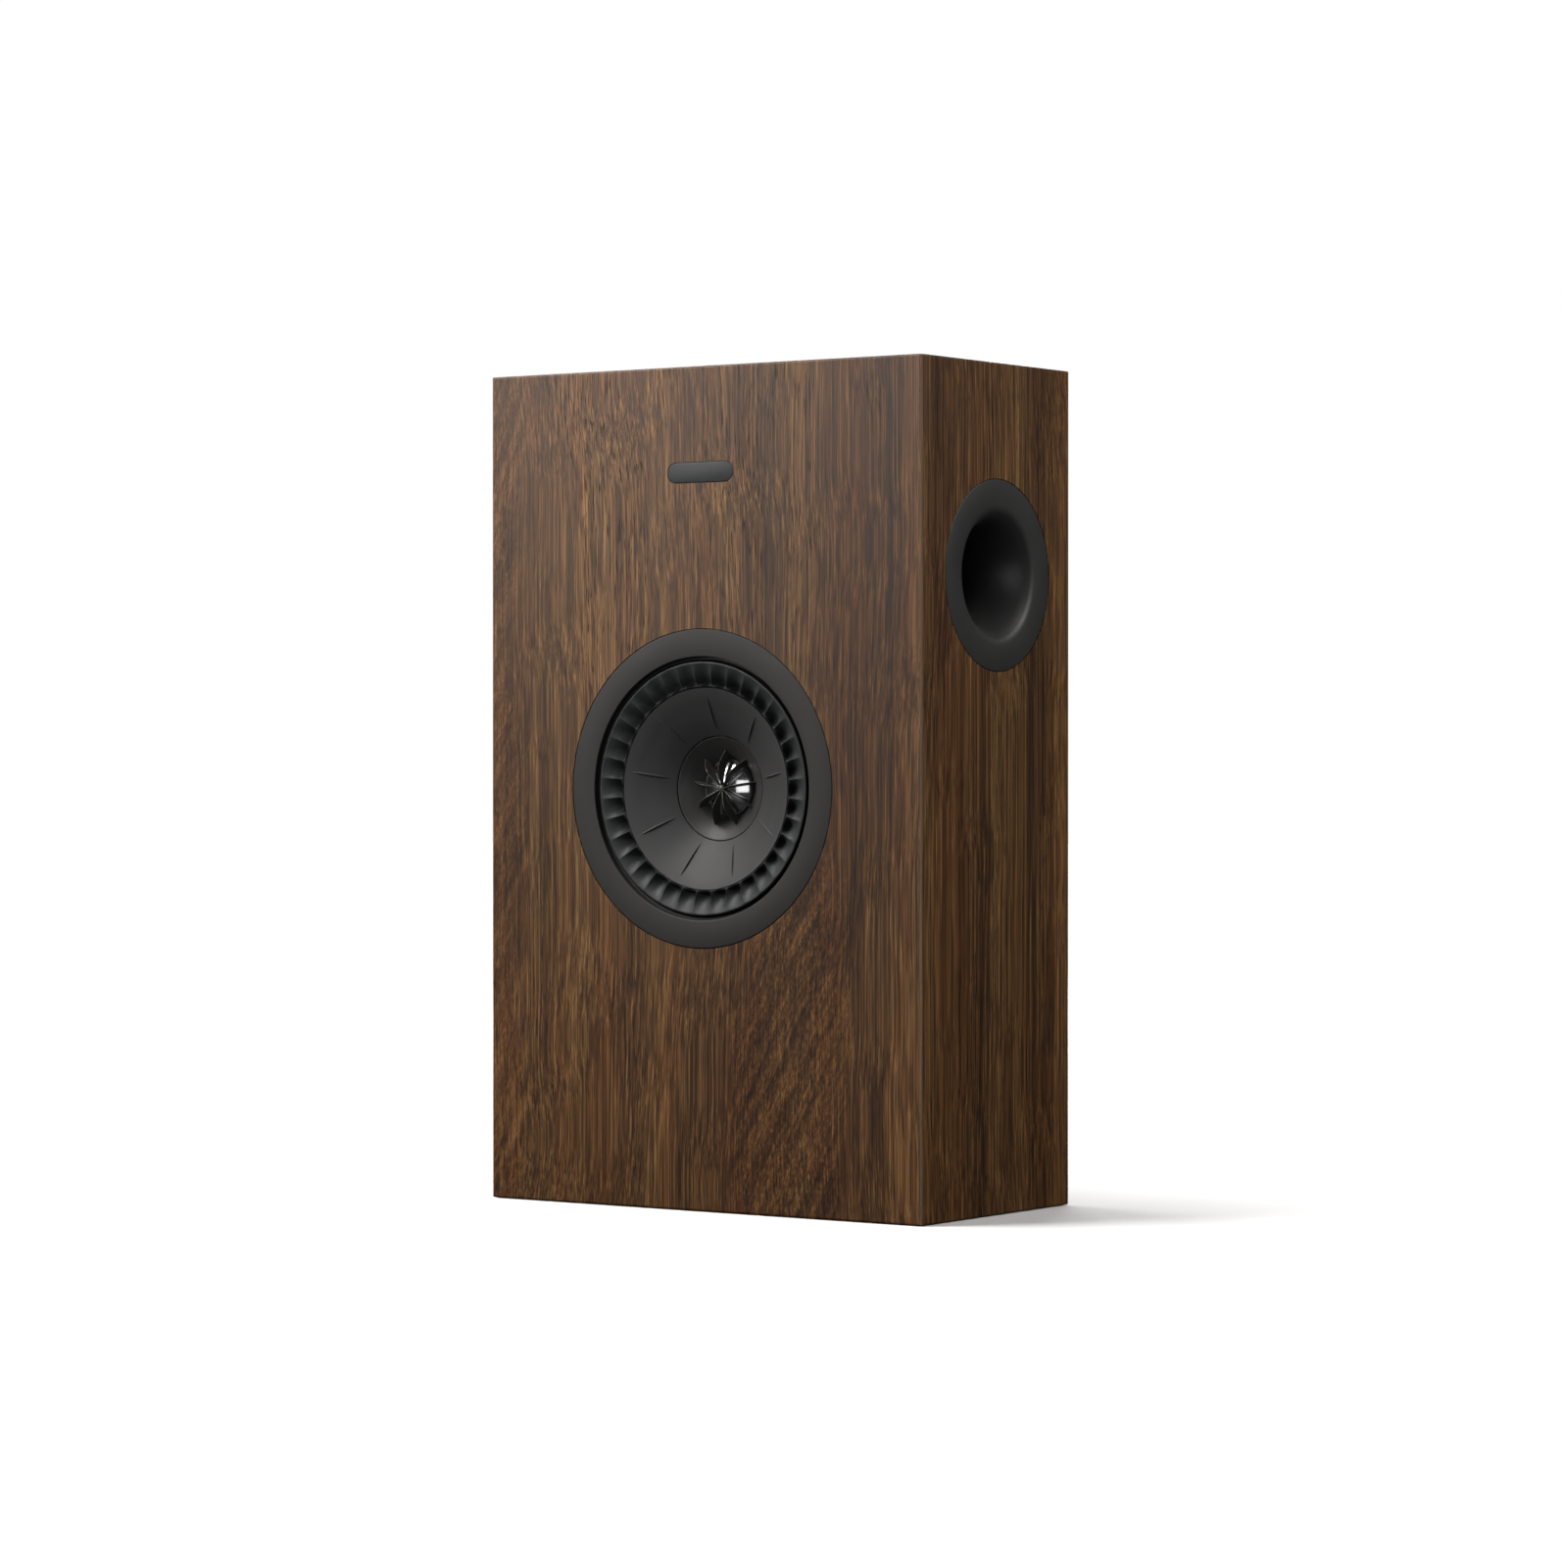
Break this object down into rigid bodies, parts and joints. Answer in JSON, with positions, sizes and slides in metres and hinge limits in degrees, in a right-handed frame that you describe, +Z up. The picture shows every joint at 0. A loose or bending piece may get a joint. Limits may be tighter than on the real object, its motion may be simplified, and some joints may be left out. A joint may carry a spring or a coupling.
{
  "type": "bookshelf speaker",
  "caption": "Shallow two-way loudspeaker in a wood-veneered box, with a coaxial driver in a flat trim ring and a round port in its side.",
  "frame": {"origin": "centre of the underside of the cabinet, on the surface it stands on", "axes": "+Z up; the front baffle faces -Y; the rear panel and terminals face +Y; the port is in the +X side"},
  "size_m": [0.257, 0.132, 0.41],
  "materials": {
    "walnut": "satin open-pored walnut veneer",
    "rear_board": "matte black lacquer on fibreboard",
    "brace_board": "raw fibreboard",
    "badge": "satin dark inlay, blank",
    "magnet": "nickel plated",
    "foam": "open-cell acoustic foam",
    "port_plastic": "fine satin moulding",
    "ring": "soft satin, fine texture",
    "basket": "powder coated casting",
    "gasket": "closed-cell foam rubber",
    "black_screw": "black oxide",
    "zinc_steel": "zinc plated",
    "ferrite": "sintered, matte",
    "neodymium": "nickel plated",
    "demod_aluminium": "plain",
    "cone_aluminium": "dark anodised, satin",
    "guide": "satin moulding",
    "plug": "satin moulding",
    "dome_aluminium": "polished",
    "former": "amber film",
    "copper": "enamelled copper wire",
    "surround_rubber": "matte pleated rubber",
    "spider_cloth": "corrugated impregnated cloth",
    "absorber": "matte moulding",
    "block": "matte",
    "tinned": "tinned",
    "board": "solder-masked laminate",
    "nylon": "plain nylon",
    "coil": "enamelled copper wire on bobbins",
    "capacitor": "film sleeve",
    "ceramic": "ceramic case",
    "lead": "insulated wire",
    "cup": "fine textured moulding",
    "post_metal": "gold flashed",
    "washer": "nickel plated",
    "knob_metal": "nickel plated, fluted",
    "red_ring": "moulded red",
    "black_ring": "moulded black",
    "hanger": "black zinc"
  },
  "bodies": {
    "root": {"front_baffle": "walnut", "left_side_panel": "walnut", "right_side_panel": "walnut", "top_panel": "walnut", "bottom_panel": "walnut", "rear_panel": "rear_board", "upper_brace": "brace_board", "lower_brace": "brace_board", "front_badge": "badge", "grille_magnets": "magnet", "acoustic_foam": "foam", "port_mouth": "port_plastic", "port_tube": "port_plastic", "trim_ring": "ring", "driver_basket": "basket", "driver_gasket": "gasket", "driver_screws": "black_screw", "top_plate": "zinc_steel", "ferrite_magnet": "ferrite", "yoke": "zinc_steel", "demodulation_ring": "demod_aluminium", "waveguide": "guide", "phase_plug": "plug", "tweeter_top_plate": "zinc_steel", "tweeter_magnet": "neodymium", "tweeter_yoke": "zinc_steel", "tweeter_duct": "absorber", "absorber_disc": "absorber", "terminal_block": "block", "connector_tabs": "tinned", "surround": "surround_rubber", "spider": "spider_cloth", "tweeter_surround": "surround_rubber", "crossover_board": "board", "board_standoffs": "nylon", "board_screws": "zinc_steel", "crossover_coils": "coil", "crossover_capacitors": "capacitor", "power_resistors": "ceramic", "input_leads": "lead", "driver_leads": "lead", "terminal_cup": "cup", "rear_screws": "black_screw", "post_positive": "post_metal", "post_negative": "post_metal", "polarity_ring_positive": "red_ring", "polarity_ring_negative": "black_ring", "post_nuts": "zinc_steel", "keyhole_plates": "hanger"},
    "woofer_cone": {"cone": "cone_aluminium", "coil_former": "former", "woofer_coil": "copper"},
    "treble_dome": {"tweeter_dome": "dome_aluminium", "tweeter_coil": "copper"},
    "washer_positive": {"clamp_washer_positive": "washer"},
    "washer_negative": {"clamp_washer_negative": "washer"},
    "terminal_knob_positive": {"knob_positive": "knob_metal"},
    "terminal_knob_negative": {"knob_negative": "knob_metal"}
  },
  "joints": [
    {"name": "cone_travel", "type": "slide", "parent": "root", "child": "woofer_cone", "axis": [0, -1, 0], "range_m": [-0.004, 0.004], "stiffness_N_per_m": 1200, "deforming": ["surround", "spider"]},
    {"name": "dome_travel", "type": "slide", "parent": "root", "child": "treble_dome", "axis": [0, -1, 0], "range_m": [-0.0004, 0.0004], "stiffness_N_per_m": 100, "deforming": ["tweeter_surround"]},
    {"name": "positive_clamp_travel", "type": "slide", "parent": "root", "child": "washer_positive", "axis": [0, 1, 0], "range_m": [-0.0033, 0.0012]},
    {"name": "positive_knob_turn", "type": "hinge", "parent": "washer_positive", "child": "terminal_knob_positive", "pos_m": [0.015, 0.041, 0.08], "axis": [0, 1, 0], "range_deg": [-1190, 434]},
    {"name": "negative_clamp_travel", "type": "slide", "parent": "root", "child": "washer_negative", "axis": [0, 1, 0], "range_m": [-0.0033, 0.0012]},
    {"name": "negative_knob_turn", "type": "hinge", "parent": "washer_negative", "child": "terminal_knob_negative", "pos_m": [-0.015, 0.041, 0.08], "axis": [0, 1, 0], "range_deg": [-1190, 434]}
  ],
  "couplings": [
    {"joint": "positive_knob_turn", "follows": "positive_clamp_travel", "rad_per_m": 6283.2},
    {"joint": "negative_knob_turn", "follows": "negative_clamp_travel", "rad_per_m": 6283.2}
  ]
}
